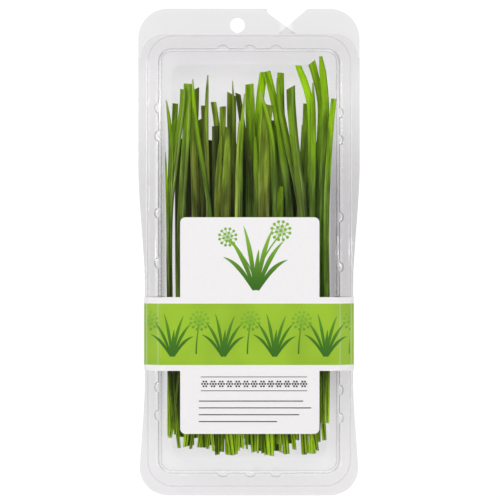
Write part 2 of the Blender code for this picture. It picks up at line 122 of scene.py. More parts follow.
# The label
CARD_HALF_WIDTH = 34.7
CARD_X = 0.4
CARD_TOP_Y = 17.3
CARD_LOW_Y = -90.6
CARD_CORNER = 2.7
BAND_TOP_Y = -22.5
BAND_LOW_Y = -59.2
LIME_TOP_Y = -25.7
LIME_LOW_Y = -56.3
PAPER = 0.22
PRINT_LIFT = 0.05
PRINT_STEP = 0.0008
LABEL_BEND = 1.4
# Painted highlights: pale lines along the label's folds, each with its place and strength.
LABEL_FOLD_HIGHLIGHTS = ((PANEL[0] - 0.6, 0.16), (RIM[0] - 0.1, 0.3))
FIBRES_A_METRE = 1400.0
CLOUDS_A_METRE = 45.0
PAPER_ROUGHNESS = 0.42
PAPER_GLOSS = 0.22
PAPER_BUMP = 0.02
CARD_CORNER_STEPS = 8

# Where the label bends: inside the panel's edge, beside and over the rim, over and under the flanges
LABEL_INSET = 0.4
PANEL_BEND_IN = 1.6
RIM_BEND_IN = 0.2
RIM_BEND_OVER = 0.9
ARM_OVER = 0.8
ARM_UNDER = 0.5
ARM_END_X = 43.0
ARM_END_LIFT = 0.3

TUFTS = 4
TUFT_REACH = 22.0
FLOWERS = 5
PRINT_PITCH = 25.5
BLADE_SPREAD = 0.02
BLADE_WIDTH = 0.068
# Each blade: degrees from upright, length, bend and place aside
TUFT_BLADES = (
    (-30, 0.7, -0.75, -1.6), (31, 0.66, 0.8, 1.7), (-19, 0.9, -0.45, -0.9), (20, 0.86, 0.5, 1.0),
    (-7, 1.0, -0.2, -0.3), (10, 0.97, 0.3, 0.4), (2, 0.62, 0.12, 0.1),
)
# Each ring of florets in a flower head: its share of the head's radius, and how many. The rest are
# shares of that radius too.
FLOWER_RINGS = ((0.5, 6), (1.0, 12))
FLOWER_RISE = 0.35
FLOWER_STALK = 0.16
FLOWER_RAY = 0.06
FLOWER_DOT = 0.17
FLOWER_STEPS = 8
# The flowers of a row and of the card's group: place beside the foot and above it, height, lean, radius
ROW_FLOWER = (-0.8, 5.5, 15.0, 1.6, 4.4)
GROUP_FLOWERS = ((-0.5, 1.0, 24.0, -13.5, 4.2), (0.5, 1.0, 27.0, 12.0, 4.6))
GROUP_FOOT = (CARD_X + 3.0, -19.0)
GROUP_REACH = 33.0
GROUP_SHADE = (-18.0, 12.0)
# Each rule: place up the card, left end, right end and thickness
CARD_RULES = (
    (-62.4, -24, 29, 0.35), (-69.3, -24, 29, 0.35), (-74.5, -25, 27, 0.5), (-77.9, -25, 31, 0.5),
    (-81.3, -25, 25, 0.5), (-84.7, -25, 14, 0.5),
)
FLORETS = 13
FLORET = 1.35
FLORET_DOTS = (0.55, 0.5)
FLORET_X = -22.0
FLORET_Y = -65.7
FLORET_PITCH = 4.1

# The leaves
LEAF_STEP = 2.0
LEAF_SIDES = 22
LEAF_THICKNESS = 0.45
LEAF_GUTTER = 0.4
LEAF_KEEL = 0.35
STALK_NARROWS = 0.2
STALK_REACH = 18.0
DRY_WIDTH = 1.35
POINTED = 0.4
SLANT_REACH = 5.0
NARROWEST = 0.12
ROUND_EDGE = 0.6
EDGE_CATCH = 0.15
BLADE_SHARP_DEGREES = 60
# The bright and dark finishes are painted light and painted shade: lit and shaded copies of one leaf green.
LIT_BRIGHT, MID, OLIVE, SHADED_DARK, LIME = range(5)

# Noise on a leaf: cells across half of it, cells along all of it, detail and roughness
STREAK_GRAIN = (3.2, 3.5, 3.0, 0.6)
PATCH_GRAIN = (1.0, 9.0, 2.0, 0.5)
BRUISE_GRAIN = (1.0, 24.0, 1.0, 0.5)
BROAD_GRAIN = (0.7, 7.0, 1.0, 0.5)
FIBRE_GRAIN = (9.0, 22.0, 3.0, 0.7)

# How a leaf's skin changes: the two places between which it does, and the value at each where that is
# fixed. A place is along the leaf, 0 at the cut base to 1 at the tip, aside, 0 at the fold to 1 at an
# edge, across, -1 to 1, on the scale of a noise, or in millimetres for the pile and the card. Several are
# painted light and shade, not the leaf's own colour: highlights in pale patches, on the edges and along a
# ridge, a light tip, shade in the fold, on the stalk, in broad patches, on the right edge and low in the
# pile, and light beside the card.
STREAK_MIX = (0.42, 0.58)
# Painted highlight: pale patches in the shine green.
PAINTED_HIGHLIGHT_PATCHES = (0.5, 0.72, 0.0, 0.5)
# Painted shade: the fold down the leaf's middle darkens to its deep green.
FOLD_PAINTED_SHADE = (0.0, 0.2, 0.55, 0.0)
# Painted highlight: the leaf's edges turn towards the shine green.
EDGE_PAINTED_HIGHLIGHT = (0.78, 1.0, 0.0, 0.5)
BASE_REACH = (0.0, 0.22)
# Painted light: tips turn lighter where they rise out of the pile's shade and catch the light.
TIP_REACH = (0.66, 0.96)
CUT_REACH = (0.0, 0.008)
DRY_REACH = (0.965, 0.995, 0.0, 0.8)
BRUISES = (0.74, 0.8, 0.0, 0.65)
# Painted highlight: a pale stripe along a ridge of some top leaves, where a lit ridge would shine.
RIDGE_HIGHLIGHT_ACROSS = 0.3
RIDGE_HIGHLIGHT_WIDTH = (0.03, 0.16, 1.0, 0.0)
STALK_OPENS = (0.03, 0.3)
# Painted shade on the folded stalk: dark in its groove and at its edges, so that each half looks round.
STALK_GROOVE_SHADE = (0.0, 0.4, 0.1, 1.0)
STALK_EDGE_SHADE = (0.75, 1.0, 1.0, 0.4)
STALK_TONES = (0.1, 0.7, 1.0, 1.2)
BROAD_SHADE = (0.36, 0.56, 0.6, 1.22)
FIBRE_SHADE = (0.36, 0.64, 0.78, 1.2)
RIGHT_EDGE_SHADE = (0.55, 1.0, 1.0, 0.55)
# Painted shade: leaves lower in the pile are darker.
PILE_DEPTH_SHADE = (1.0, 9.0, 0.7, 1.0)
# Painted light: leaves left and right of the card are made lighter.
BESIDE_CARD_X = (33.0, 39.0)
BESIDE_CARD_Y = (35.0, 60.0, 1.0, 0.0)
LEAF_ROUGHNESS = (0.3, 0.7, 0.52, 0.36)
BESIDE_CARD_PAINTED_LIGHT = 1.65
TONE_LEAST = 0.84
TONE_SPREAD = 0.5
BRIGHTEST_STALK = 1.15
BRIGHTEST_BLADE = 3.0
VEINS_ACROSS = 30.0
VEIN_SHARE = 0.35
LEAF_GLOW = 0.18
LEAF_GLOSS = 0.25
LEAF_BUMP = (0.05, 0.7)
SEED_SPREAD = 57.0
BROAD_SEED = 9.0


def new_object(name, data):
    made = bpy.data.objects.new(name, data)
    bpy.context.scene.collection.objects.link(made)
    return made


def object_from(name, work, material=None):
    """Turns a bmesh in millimetres into an object in metres."""
    bmesh.ops.scale(work, vec=(MM, MM, MM), verts=work.verts)
    mesh = bpy.data.meshes.new(name)
    work.to_mesh(mesh)
    work.free()
    if material:
        mesh.materials.append(material)
    return new_object(name, mesh)


def plain_mesh(made):
    """The object with its modifiers worked into its mesh."""
    graph = bpy.context.evaluated_depsgraph_get()
    mesh = bpy.data.meshes.new_from_object(made.evaluated_get(graph))
    name, old = made.name, made.data
    bpy.data.objects.remove(made)
    result = new_object(name, mesh)
    if isinstance(old, bpy.types.Curve):
        bpy.data.curves.remove(old)
    return result


def stands_for(piece, slot, *nodes):
    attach(piece, BODY)
    if nodes:
        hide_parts(*nodes)


# Materials

def node_material(name):
    material = bpy.data.materials.new(name)
    material.use_nodes = True
    tree = material.node_tree
    tree.nodes.clear()
    return material, tree, tree.nodes.new("ShaderNodeOutputMaterial")


def link(tree, source, target):
    tree.links.new(source, target)


def feed(tree, sockets, values):
    """Sets each socket to a number, a colour or a name, or links it to another node."""
    for socket, value in zip(sockets, values):
        if isinstance(value, tuple):
            socket.default_value = (*value, 1.0)
        elif isinstance(value, (int, float, str)):
            socket.default_value = value
        else:
            link(tree, value, socket)


def new_node(tree, kind, **values):
    """A new node with its named inputs fed. A space in an input's name is written as _."""
    made = tree.nodes.new(kind)
    feed(tree, [made.inputs[name.replace("_", " ")] for name in values], values.values())
    return made


def math_node(tree, operation, *values, clamp=False):
    made = new_node(tree, "ShaderNodeMath")
    made.operation = operation
    made.use_clamp = clamp
    feed(tree, made.inputs, values)
    return made.outputs[0]


def times(tree, first, second):
    return math_node(tree, "MULTIPLY", first, second)


def size_of(tree, value):
    return math_node(tree, "ABSOLUTE", value)


def mix_colour(tree, share, first, second, blend="MIX"):
    made = new_node(tree, "ShaderNodeMix")
    made.data_type = "RGBA"
    made.blend_type = blend
    feed(tree, (made.inputs[0], made.inputs[6], made.inputs[7]), (share, first, second))
    return made.outputs[2]


def mix_number(tree, share, first, second):
    made = new_node(tree, "ShaderNodeMix")
    feed(tree, (made.inputs[0], made.inputs[2], made.inputs[3]), (share, first, second))
    return made.outputs[0]


def mix_shaders(tree, share, first, second):
    made = new_node(tree, "ShaderNodeMixShader")
    feed(tree, made.inputs, (share, first.outputs[0], second.outputs[0]))
    return made


def attribute(tree, name):
    made = new_node(tree, "ShaderNodeAttribute")
    made.attribute_name = name
    return made.outputs["Fac"]


def ramp(tree, value, low, high, low_value=0.0, high_value=1.0):
    """Runs smoothly from low_value to high_value while value goes from low to high."""
    made = new_node(tree, "ShaderNodeMapRange")
    made.interpolation_type = "SMOOTHSTEP"
    feed(tree, made.inputs, (value, low, high, low_value, high_value))
    return made.outputs[0]


def place_ramp(tree, value, low, high, low_value=0.0, high_value=1.0):
    """A ramp along a coordinate, between two places in millimetres."""
    return ramp(tree, value, low * MM, high * MM, low_value, high_value)


def noise(tree, vector, scale, detail, roughness=0.5):
    made = new_node(tree, "ShaderNodeTexNoise", Vector=vector, Scale=scale, Detail=detail,
                    Roughness=roughness)
    return made.outputs["Fac"]


def xyz(tree, *values):
    made = new_node(tree, "ShaderNodeCombineXYZ")
    feed(tree, made.inputs, values)
    return made.outputs[0]


def object_axes(tree):
    """The Object coordinates of a point, whole and apart."""
    where = new_node(tree, "ShaderNodeTexCoord").outputs["Object"]
    return where, new_node(tree, "ShaderNodeSeparateXYZ", Vector=where).outputs


def bump(tree, height, distance, strength):
    made = new_node(tree, "ShaderNodeBump", Height=height, Distance=distance * MM, Strength=strength)
    return made.outputs[0]


def principled(tree, **settings):
    return new_node(tree, "ShaderNodeBsdfPrincipled", **settings)


def leaf_grain(tree, place, wide, long, detail, roughness):
    """Noise drawn out along a leaf. wide and long are its cells across half the leaf and along all of it."""
    across, along, seed = place
    drawn = xyz(tree, times(tree, across, wide), times(tree, along, long), seed)
    return noise(tree, drawn, 1.0, detail, roughness)


def leaf_material(name, deep, full, painted_highlight, tip_share, base_share):
    """A leaf: long streaks between two greens, a paler cut base, a lighter tip and fine veins, under painted
    highlights and painted shade; the lighter tip is painted light.
    """
    material, tree, output = node_material(name)
    kept = ("along", "across", "tone", "ridge_highlight", "dry")
    along, across, tone, ridge_highlight, dry = (attribute(tree, label) for label in kept)
    aside = size_of(tree, across)
    seed = times(tree, tone, SEED_SPREAD)
    place = (across, along, seed)
    streaks = leaf_grain(tree, place, *STREAK_GRAIN)
    off_ridge_highlight = size_of(tree, math_node(tree, "SUBTRACT", across, RIDGE_HIGHLIGHT_ACROSS))
    layers = (
        # painted highlight in pale patches
        (ramp(tree, leaf_grain(tree, place, *PATCH_GRAIN), *PAINTED_HIGHLIGHT_PATCHES), painted_highlight),
        # painted shade in the fold
        (ramp(tree, aside, *FOLD_PAINTED_SHADE), deep),
        # painted highlight along the edges
        (ramp(tree, aside, *EDGE_PAINTED_HIGHLIGHT), painted_highlight),
        (ramp(tree, along, *BASE_REACH, base_share, 0.0), BASE_GREEN),
        # painted light at the tip
        (ramp(tree, along, *TIP_REACH, 0.0, tip_share), TIP_GREEN),
        # painted highlight along a ridge
        (times(tree, ramp(tree, off_ridge_highlight, *RIDGE_HIGHLIGHT_WIDTH), ridge_highlight), RIDGE_HIGHLIGHT_PALE),
        (times(tree, ramp(tree, along, *DRY_REACH), dry), DRY_TIP),
        (ramp(tree, leaf_grain(tree, place, *BRUISE_GRAIN), *BRUISES), STRAW),
        (ramp(tree, along, *CUT_REACH, base_share, 0.0), CUT_GREEN),
    )
    colour = mix_colour(tree, ramp(tree, streaks, *STREAK_MIX), deep, full)
    for share, layer in layers:
        colour = mix_colour(tree, share, colour, layer)

    axes = object_axes(tree)[1]
    opened = ramp(tree, along, *STALK_OPENS)
    # Painted shade in the stalk's groove and at its edges
    stalk_shade = math_node(tree, "MINIMUM", ramp(tree, aside, *STALK_GROOVE_SHADE), ramp(tree, aside, *STALK_EDGE_SHADE))
    stalk = mix_number(tree, opened, ramp(tree, tone, *STALK_TONES), 1.0)
    # Painted light on the leaves beside the card
    lit_beside_card = times(tree, place_ramp(tree, size_of(tree, axes[0]), *BESIDE_CARD_X),
                        place_ramp(tree, size_of(tree, axes[1]), *BESIDE_CARD_Y))
    broad = leaf_grain(tree, (across, along, math_node(tree, "ADD", seed, BROAD_SEED)), *BROAD_GRAIN)
    value = math_node(tree, "ADD", times(tree, tone, TONE_SPREAD), TONE_LEAST)
    # A value darkens and lightens the green: random tone and fibres, painted shade low in the pile, on the
    # stalk, in broad patches and on the right edge, and painted light beside the card.
    for gain in (
        # painted shade low in the pile
        place_ramp(tree, axes[2], *PILE_DEPTH_SHADE),
        mix_number(tree, lit_beside_card, 1.0, BESIDE_CARD_PAINTED_LIGHT),
        times(tree, math_node(tree, "MAXIMUM", stalk_shade, opened), stalk),
        ramp(tree, broad, *BROAD_SHADE),
        ramp(tree, leaf_grain(tree, place, *FIBRE_GRAIN), *FIBRE_SHADE),
        ramp(tree, across, *RIGHT_EDGE_SHADE),
    ):
        value = times(tree, value, gain)
    value = math_node(tree, "MINIMUM", value, mix_number(tree, opened, BRIGHTEST_STALK, BRIGHTEST_BLADE))
    colour = mix_colour(tree, 1.0, colour, xyz(tree, value, value, value), "MULTIPLY")

    veins = math_node(tree, "SINE", times(tree, across, VEINS_ACROSS))
    relief = math_node(tree, "ADD", times(tree, veins, VEIN_SHARE), streaks)
    skin = principled(tree, Base_Color=colour, Roughness=ramp(tree, streaks, *LEAF_ROUGHNESS),
                      Normal=bump(tree, relief, *LEAF_BUMP), Specular_IOR_Level=LEAF_GLOSS,
                      Specular_Tint=WAX_TINT)
    glow = mix_colour(tree, 0.5, colour, GLOW_GREEN)
    through = new_node(tree, "ShaderNodeBsdfTranslucent", Color=glow)
    link(tree, mix_shaders(tree, LEAF_GLOW, skin, through).outputs[0], output.inputs[0])
    return material


def tab_share(tree, axes):
    """How much of a place is on the single sheet of an end tab, past the other sheet's rounded corner."""
    outer_x = math_node(tree, "SUBTRACT", size_of(tree, axes[0]), TAB_FOOT_X * MM)
    outer_y = math_node(tree, "SUBTRACT", axes[1], (TAB_FOOT_Y - TAB_CORNER) * MM)
    squares = [math_node(tree, "POWER", math_node(tree, "MAXIMUM", outer, 0.0), 2.0)
               for outer in (outer_x, outer_y)]
    from_corner = math_node(tree, "SQRT", math_node(tree, "ADD", *squares))
    from_notch = size_of(tree, math_node(tree, "SUBTRACT", axes[0], NOTCH_X * MM))
    over_end = times(tree, place_ramp(tree, outer_y, 0.0, 1.0), place_ramp(tree, from_notch, *NOTCH_EASE))
    return times(tree, place_ramp(tree, from_corner, TAB_CORNER, TAB_CORNER + 0.3), over_end)


def clear_sheet_material(name, tints, side_x, left_less_shaded, raised_z, bend_z):
    """Clear sheet: it lets light through, greys where it is seen on edge, and mirrors the lamps.

    tints are how much light one face lets through in each part of the sheet; the sides and walls tints are
    darker, painted shade on the long sides towards the band. side_x is where the long sides begin,
    left_less_shaded how much less of that painted shade the left one takes below and above raised_z, as
    painted light on the left, and bend_z the height above which the side bends show dark.
    """
    material, tree, output = node_material(name)
    axes = object_axes(tree)[1]
    drawn = xyz(tree, times(tree, axes[0], DRAWN_MARKS[0]), times(tree, axes[1], DRAWN_MARKS[1]), axes[2])
    facing = new_node(tree, "ShaderNodeLayerWeight", Blend=0.5).outputs["Facing"]
    on_edge = math_node(tree, "POWER", facing, EDGE_POWER)
    leaning = math_node(tree, "POWER", facing, LEAN_POWER)

    # Painted shade: the long sides darken towards the band, less on the left, where painted light falls.
    aslant = size_of(tree, math_node(tree, "ADD", axes[0], WALL_SHIFT * MM))
    beside = place_ramp(tree, aslant, side_x, side_x + SIDE_EASE)
    from_middle = size_of(tree, math_node(tree, "SUBTRACT", axes[1], BAND_Y * MM))
    by_band = place_ramp(tree, from_middle, *BY_BAND)
    above = place_ramp(tree, axes[2], raised_z - 1.0, raised_z)
    left_share = mix_number(tree, above, 1.0 - left_less_shaded[0], 1.0 - left_less_shaded[1])
    rightward = math_node(tree, "MAXIMUM", place_ramp(tree, axes[0], *LEFT_TO_RIGHT), left_share)
    side_share = times(tree, times(tree, beside, by_band), rightward)

    flat = mix_colour(tree, place_ramp(tree, axes[1], *HEADWARD), tints["ends"], HEAD_TINT)
    over_raised = place_ramp(tree, axes[2], raised_z, raised_z + RAISED_EASE)
    flat = mix_colour(tree, over_raised, flat, tints["raised"])
    sides = mix_colour(tree, above, tints["walls"], tints["sides"])
    tint = mix_colour(tree, tab_share(tree, axes), mix_colour(tree, side_share, flat, sides), TAB_TINT)
    tint = mix_colour(tree, on_edge, tint, tints["edge_at_ends"])
    outward = place_ramp(tree, size_of(tree, axes[0]), *(side_x - inside for inside in BENDS_INSIDE))
    bend = times(tree, times(tree, outward, place_ramp(tree, axes[2], bend_z - BEND_EASE, bend_z)),
                 mix_number(tree, by_band, BENDS_AT_ENDS, 1.0))
    tint = mix_colour(tree, times(tree, leaning, bend), tint, tints["edge_at_sides"])

    clear = new_node(tree, "ShaderNodeBsdfTransparent", Color=tint)
    normal = bump(tree, noise(tree, drawn, 1.0, 1.0), *SHEET_BUMP)
    mirror = new_node(tree, "ShaderNodeBsdfGlossy", Color=(1.0, 1.0, 1.0), Roughness=GLOSS_ROUGHNESS,
                      Normal=normal)
    share = math_node(tree, "ADD", times(tree, on_edge, GLOSS_ON_EDGE), GLOSS_FACE_ON, clamp=True)
    link(tree, mix_shaders(tree, share, clear, mirror).outputs[0], output.inputs[0])
    return material


def coated_paper(tree, output, colour, fibre, relief):
    """Gives the output the label's smooth paper skin in this colour."""
    skin = principled(tree, Base_Color=colour, Roughness=PAPER_ROUGHNESS, Specular_IOR_Level=PAPER_GLOSS,
                      Normal=bump(tree, fibre, PAPER_BUMP, relief))
    link(tree, skin.outputs[0], output.inputs[0])


def label_material():
    """Coated paper: white, with the lime band between two margins and painted highlights along its folds."""
    material, tree, output = node_material("label_print")
    where, axes = object_axes(tree)
    fibre = noise(tree, where, FIBRES_A_METRE, 3.0)
    band = times(tree, math_node(tree, "LESS_THAN", axes[1], LIME_TOP_Y * MM),
                 math_node(tree, "GREATER_THAN", axes[1], LIME_LOW_Y * MM))
    cloudy = noise(tree, where, CLOUDS_A_METRE, 1.0)
    lime = mix_colour(tree, ramp(tree, cloudy, 0.35, 0.65), BAND_LIME, BAND_LIME_LIGHT)
    colour = mix_colour(tree, band, PAPER_WHITE, lime)
    colour = mix_colour(tree, ramp(tree, fibre, 0.3, 0.7, 0.0, 0.05), colour, PAPER_SHADE)
    # Painted highlight along each fold: the paper turns towards white there.
    for fold_x, highlight_share in LABEL_FOLD_HIGHLIGHTS:
        off = math_node(tree, "SUBTRACT", size_of(tree, axes[0]), fold_x * MM)
        fold_highlight = place_ramp(tree, size_of(tree, off), 0.05, 0.45, highlight_share, 0.0)
        colour = mix_colour(tree, fold_highlight, colour, PAPER_WHITE)
    coated_paper(tree, output, colour, fibre, 0.25)
    return material


def ink_material(name, low_colour, high_colour, low_y, high_y):
    """Ink that shades from one green to another up the label."""
    material, tree, output = node_material(name)
    where, axes = object_axes(tree)
    colour = mix_colour(tree, place_ramp(tree, axes[1], low_y, high_y), low_colour, high_colour)
    coated_paper(tree, output, colour, noise(tree, where, FIBRES_A_METRE, 2.0), 0.2)
    return material


# Colours

BASE_GREEN = (0.48, 0.8, 0.014)
# Painted light: the light green of tips that stand out of the pile's shade
TIP_GREEN = (0.28, 0.53, 0.001)
WAX_TINT = (0.85, 1.0, 0.5)
CUT_GREEN = (0.5, 0.7, 0.2)
STRAW = (0.3, 0.27, 0.05)
DRY_TIP = (0.5, 0.55, 0.26)
# The pale green of a painted highlight along a leaf's ridge
RIDGE_HIGHLIGHT_PALE = (0.42, 0.52, 0.24)
GLOW_GREEN = (0.3, 0.62, 0.01)

# How much light one face of the clear sheet lets through. The sides and walls tints are lower: painted
# shade on the long sides towards the band.
TAB_TINT = (0.88, 0.875, 0.88)
HEAD_TINT = (0.915, 0.911, 0.915)
TRAY_TINTS = {
    "ends": (0.972, 0.97, 0.972), "sides": (0.88, 0.875, 0.88), "raised": (0.94, 0.937, 0.94),
    "edge_at_ends": (0.78, 0.78, 0.78), "edge_at_sides": (0.7, 0.7, 0.7), "walls": (0.66, 0.655, 0.66),
}
LID_TINTS = {
    "ends": (0.95, 0.946, 0.95), "sides": (0.895, 0.89, 0.895), "raised": (0.945, 0.941, 0.945),
    "edge_at_ends": (0.36, 0.36, 0.36), "edge_at_sides": (0.5, 0.5, 0.5), "walls": (0.895, 0.89, 0.895),
}

PAPER_WHITE = (0.78, 0.76, 0.77)
PAPER_SHADE = (0.35, 0.35, 0.35)
BAND_LIME = (0.25, 0.42, 0.014)
BAND_LIME_LIGHT = (0.29, 0.48, 0.018)
INK_DARK = (0.035, 0.13, 0.008)
INK_MID = (0.09, 0.26, 0.015)
INK_LIGHT = (0.2, 0.42, 0.03)
INK_GREY = (0.035, 0.04, 0.03)


# The clear tray and lid

def waist(y):
    """How far the tight label's arms draw the flange in, at this y."""
    past = max(0.0, abs(y - WAIST_Y) - WAIST_FLAT)
    share = max(0.0, 1.0 - past / WAIST_REACH)
    return WAIST * share * share * (3.0 - 2.0 * share)


def side_places(lugs, middle, half):
    """Places along a side, in rising order, with how far the half-round lugs stand out there, 0 to 1."""
    places = []
    for centre in lugs:
        for step in range(LUG_STEPS + 1):
            turn = -math.cos(math.pi * step / LUG_STEPS)
            places.append((centre + turn * LUG_RADIUS, math.sqrt(max(0.0, 1.0 - turn * turn))))
    for step in range(1, 2 * PLAIN_STEPS):
        plain = middle + half * (step / PLAIN_STEPS - 1.0)
        if all(abs(plain - centre) > LUG_RADIUS + 1.0 for centre in lugs):
            places.append((plain, 0.0))
    return sorted(places)


def ring(half_width, half_length, corner, z, lugs=0.0, centre_y=RIM_CENTRE_Y, drawn_in=0.0):
    """A rounded rectangle seen from above, anticlockwise from its right side."""
    sides = (
        side_places(LUGS_RIGHT, RIM_CENTRE_Y, SIDE_REACH),
        side_places(LUGS_END, 0.0, END_REACH)[::-1],
        side_places(LUGS_LEFT, RIM_CENTRE_Y, SIDE_REACH)[::-1],
        side_places(LUGS_END, 0.0, END_REACH),
    )
    points = []
    for side, places in enumerate(sides):
        for place, out in places:
            stand = out * lugs * LUG_REACH
            across = half_width + stand - drawn_in * waist(place)
            along = half_length + stand
            x = (across, place, -across, place)[side]
            y = (place, centre_y + along, place, centre_y - along)[side]
            points.append((x, y, z))
        middle_x = (half_width - corner) * (1, -1, -1, 1)[side]
        middle_y = centre_y + (half_length - corner) * (1, 1, -1, -1)[side]
        for step in range(CORNER_STEPS + 1):
            angle = (side + step / CORNER_STEPS) * math.pi / 2
            x = middle_x + corner * math.cos(angle)
            y = middle_y + corner * math.sin(angle)
            points.append((x - math.copysign(drawn_in * waist(y), x), y, z))
    return points


def rounded_bend(start, bend, end):
    """Points from start to end on a curve that turns by the bend."""
    steps = (step / FILLET_STEPS for step in range(FILLET_STEPS + 1))
    return [start * (1 - t) ** 2 + 2 * bend * t * (1 - t) + end * t * t for t in steps]


def rounded_section(section, radii):
    """The rings along a sheet's section, with rounded bends."""
    corners = [np.array((*(size + out for size in outline), z, lugs)) for outline, out, z, lugs in section]
    path = [corners[0]]
    for before, bend, after, radius in zip(corners, corners[1:], corners[2:], radii):
        ends = []
        for other in (before, after):
            way = other - bend
            ends.append(bend + way * min(BEND_SHARE, radius / math.hypot(way[0], way[3])))
        path += rounded_bend(ends[0], bend, ends[1])
    path.append(corners[-1])
    return [ring(*sizes) for sizes in path]


def flange_ring(z):
    """The flanges' own outline, drawn in at the waist."""
    return ring(PACK_WIDTH / 2, PACK_LENGTH / 2, PACK_CORNER, z, centre_y=0.0, drawn_in=1.0)


def loft(rings, close_first, close_last):
    work = bmesh.new()
    rows = [[work.verts.new(point) for point in points] for points in rings]
    count = len(rows[0])
    for low, high in zip(rows, rows[1:]):
        for i in range(count):
            j = (i + 1) % count
            work.faces.new((low[i], low[j], high[j], high[i]))
    if close_first:
        work.faces.new(list(reversed(rows[0])))
    if close_last:
        work.faces.new(rows[-1])
    for face in work.faces:
        face.smooth = True
    return work


def tab_cutter(tab_end, side, z):
    """A prism that takes away the end flange beyond one tab. side is +1 to cut on the right."""
    outline = list(tab_end)
    for step in range(CORNER_STEPS + 1):
        angle = math.pi / 2 * (1.0 - step / CORNER_STEPS)
        x = TAB_FOOT_X + TAB_CORNER * math.cos(angle)
        y = TAB_FOOT_Y - TAB_CORNER + TAB_CORNER * math.sin(angle)
        outline.append((side * x, y))
    far_x, far_y = side * (PACK_WIDTH / 2 + CUT_PAST), PACK_LENGTH / 2 + CUT_PAST
    outline += [(far_x, TAB_FOOT_Y - TAB_CORNER), (far_x, far_y), (tab_end[0][0], far_y)]
    if side > 0:
        outline.reverse()
    work = loft([[(x, y, z + rise) for x, y in outline] for rise in (-CUT_HALF, CUT_HALF)], True, True)
    bmesh.ops.recalc_face_normals(work, faces=work.faces)
    return object_from("tab_cutter", work)


def hole_cutter(z):
    x, y, radius = HOLE
    work = bmesh.new()
    bmesh.ops.create_cone(work, cap_ends=True, segments=HOLE_STEPS, radius1=radius, radius2=radius,
                          depth=2 * CUT_HALF)
    bmesh.ops.translate(work, vec=(x, y, z), verts=work.verts)
    return object_from("hole_cutter", work)


def finish_sheet(made, cutters):
    """Gives the sheet its thickness, cuts its tab and hole, and sharpens only its cut edges."""
    wall = made.modifiers.new("wall", "SOLIDIFY")
    wall.thickness = SHEET * MM
    wall.offset = -1.0
    for cutter in cutters:
        cut = made.modifiers.new("cut", "BOOLEAN")
        cut.operation = "DIFFERENCE"
        cut.object = cutter
    edge = made.modifiers.new("edge", "BEVEL")
    edge.width = CUT_EDGE * MM
    edge.segments = 2
    edge.limit_method = "ANGLE"
    edge.angle_limit = math.radians(CUT_EDGE_DEGREES)
    bpy.context.view_layer.update()
    made = plain_mesh(made)
    for cutter in cutters:
        bpy.data.objects.remove(cutter)
    made.data.shade_smooth()
    made.data.set_sharp_from_angle(angle=math.radians(SHARP_DEGREES))
    flats = made.modifiers.new("flats", "WEIGHTED_NORMAL")
    flats.keep_sharp = True
    flats.weight = 100
    bpy.context.view_layer.update()
    return plain_mesh(made)


def make_lid(material):
    rings = [flange_ring(LID_Z)] + rounded_section(LID_SECTION, LID_BENDS)[1:]
    lid = object_from("lid_sheet", loft(rings, False, True), material)
    lid = finish_sheet(lid, [tab_cutter(LID_TAB_END, 1, LID_Z), hole_cutter(LID_Z)])
    stands_for(lid, "clear_plastic", "lid")


def make_tray(material):
    rings = rounded_section(TRAY_SECTION, TRAY_BENDS) + [flange_ring(FLANGE_Z)]
    tray = object_from("tray_sheet", loft(rings, True, False), material)
    tray = finish_sheet(tray, [tab_cutter(TRAY_TAB_END, -1, FLANGE_Z)])
    stands_for(tray, "clear_plastic", "tray")


# The label

def label_line():
    """The label's line across the pack at its under side, from the middle to the end of the right arm."""
    low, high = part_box("label")
    half = high.x / MM - LABEL_INSET
    base = high.z / MM - LABEL_INSET
    return [(0.0, base), (PANEL[0] - PANEL_BEND_IN, base), (RIM[0] - RIM_BEND_IN, RIM_TOP_Z + RIM_BEND_OVER),
            (half, LID_Z + ARM_OVER), (half, FLANGE_Z - ARM_UNDER), (ARM_END_X, low.z / MM + ARM_END_LIFT)]


def bent_line(corners, radius):
    """The line with its bends rounded off."""
    path = [corners[0]]
    for before, bend, after in zip(corners, corners[1:], corners[2:]):
        before, bend, after = Vector(before), Vector(bend), Vector(after)
        start = bend + (before - bend).normalized() * min(radius, (before - bend).length * BEND_SHARE)
        end = bend + (after - bend).normalized() * min(radius, (after - bend).length * BEND_SHARE)
        path += [tuple(point) for point in rounded_bend(start, bend, end)]
    path.append(corners[-1])
    return path


def height_on_label(x, line):
    """The label's height over the pack at this x, out to the arm's outer edge."""
    x = abs(x)
    for (x0, z0), (x1, z1) in zip(line, line[1:]):
        if x0 <= x <= x1 and x1 > x0:
            return z0 + (z1 - z0) * (x - x0) / (x1 - x0)
    return line[-1][1]


